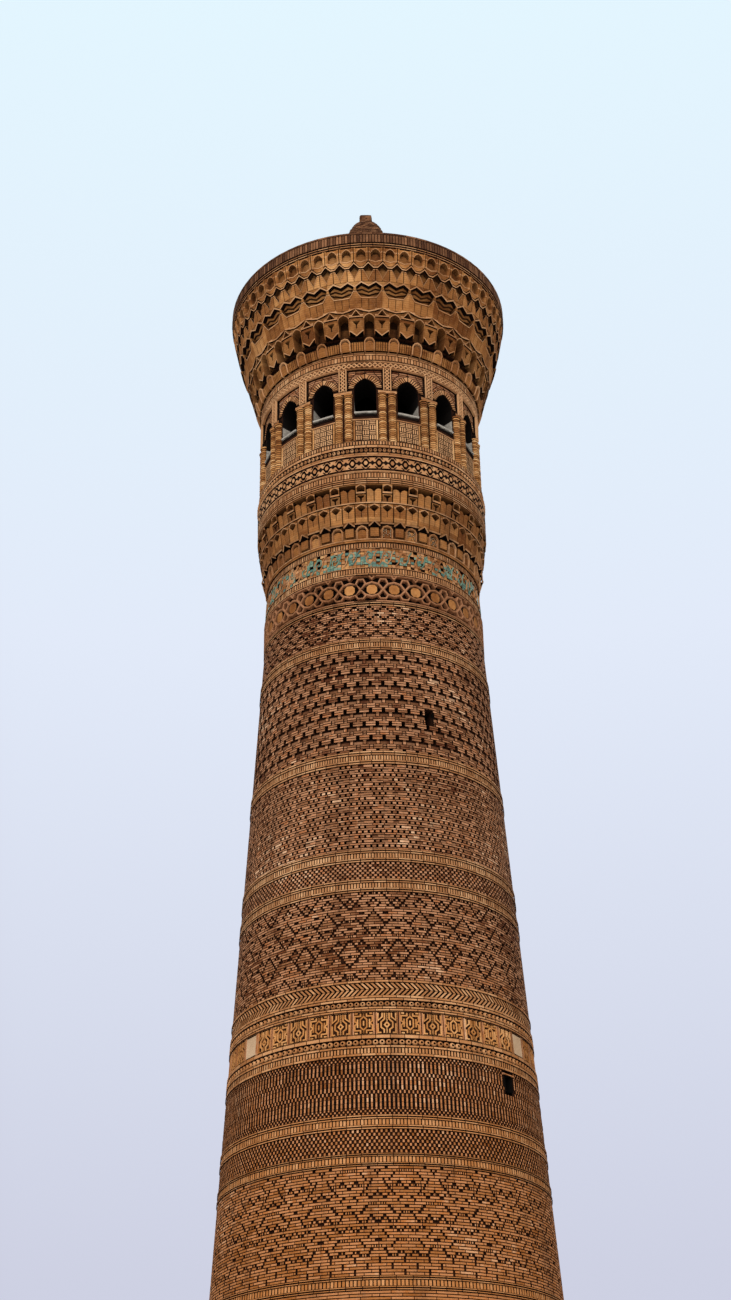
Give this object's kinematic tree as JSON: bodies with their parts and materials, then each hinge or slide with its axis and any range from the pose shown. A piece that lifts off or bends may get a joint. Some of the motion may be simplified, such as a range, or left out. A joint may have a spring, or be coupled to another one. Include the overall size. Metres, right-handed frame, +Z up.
{
  "type": "minaret, 1:2 scale model",
  "caption": "Round tapering brick minaret with patterned bands, corbelled cornices and an open arcaded lantern, half-size model.",
  "frame": {"origin": "centre of the foot, on the ground", "axes": "+Z up the tower; -Y out through the middle of one lantern window, the side the picture shows; +X to the right of it"},
  "size_m": [5.0402, 5.0402, 22.765],
  "materials": {
    "brick": "worn fired brick in lime mortar",
    "pale_brick": "worn pale fired brick",
    "terracotta": "carved unglazed terracotta",
    "glazed_tile": "weathered turquoise glaze and brick",
    "plaster": "grey lime plaster",
    "sill_board": "weathered pale boards"
  },
  "bodies": {
    "root": {"plinth": "pale_brick", "shaft_band_11": "brick", "shaft_ring_09": "pale_brick", "shaft_band_10": "brick", "shaft_ring_08": "pale_brick", "shaft_band_09": "brick", "shaft_ring_07": "pale_brick", "shaft_band_08": "brick", "header_band": "pale_brick", "shaft_band_06_lower": "brick", "shaft_band_06_slit_course": "brick", "shaft_band_06_upper": "brick", "bead_ring": "pale_brick", "panel_band": "terracotta", "chevron_ring": "pale_brick", "shaft_band_05": "brick", "chequer_band": "pale_brick", "shaft_band_03": "brick", "shaft_ring_02": "pale_brick", "shaft_band_02_lower": "brick", "shaft_band_02_slit_course": "brick", "shaft_band_02_upper": "brick", "shaft_ring_01": "pale_brick", "shaft_band_01": "brick", "strapwork_band": "terracotta", "glazed_frieze": "glazed_tile", "lower_cornice_arched_tier": "terracotta", "lower_cornice_pointed_tier": "brick", "lower_cornice_keyed_tier": "brick", "rosette_frieze": "terracotta", "lantern_floor": "plaster", "lantern_arcade_1": "brick", "lantern_arcade_2": "brick", "lantern_arcade_3": "brick", "lantern_arcade_4": "brick", "lantern_arcade_5": "brick", "lantern_arcade_6": "brick", "lantern_arcade_7": "brick", "lantern_arcade_8": "brick", "braided_frieze": "terracotta", "upper_cornice_arched_tier": "terracotta", "upper_cornice_deep_tier": "brick", "upper_cornice_winged_tier": "brick", "upper_cornice_lozenge_tier": "brick", "upper_cornice_small_tier": "terracotta", "cornice_rim": "pale_brick", "lantern_vault": "plaster", "roof_core": "brick", "roof_stub": "pale_brick"}
  },
  "joints": []
}
